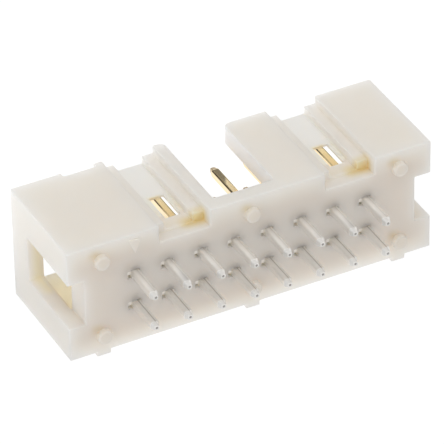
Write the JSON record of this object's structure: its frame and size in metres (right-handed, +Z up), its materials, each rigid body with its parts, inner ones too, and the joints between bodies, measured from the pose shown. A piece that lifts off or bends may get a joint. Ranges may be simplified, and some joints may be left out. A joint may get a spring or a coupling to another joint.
{
  "type": "circuit board connector",
  "caption": "Box header for a circuit board: square contacts in an open shroud with a key slot, latch recesses, stand-off bosses and straight solder tails.",
  "frame": {"origin": "middle of the footprint, on the surface that the ribs of the far wall stand on", "axes": "+X along the contact rows, away from the first contact; +Y from the solder tails towards the mouth for the cable plug; +Z up, towards the wall with the key slot"},
  "size_m": [0.028, 0.012, 0.0093],
  "materials": {
    "housing": "ivory moulded thermoplastic, slightly translucent, fine satin surface",
    "contact": "copper alloy, gold plated in the mouth and bright tin plated on the solder tails"
  },
  "bodies": {
    "root": {"housing": "housing", "contact_01": "contact", "contact_02": "contact", "contact_03": "contact", "contact_04": "contact", "contact_05": "contact", "contact_06": "contact", "contact_07": "contact", "contact_08": "contact", "contact_09": "contact", "contact_10": "contact", "contact_11": "contact", "contact_12": "contact", "contact_13": "contact", "contact_14": "contact", "contact_15": "contact", "contact_16": "contact"}
  },
  "joints": []
}
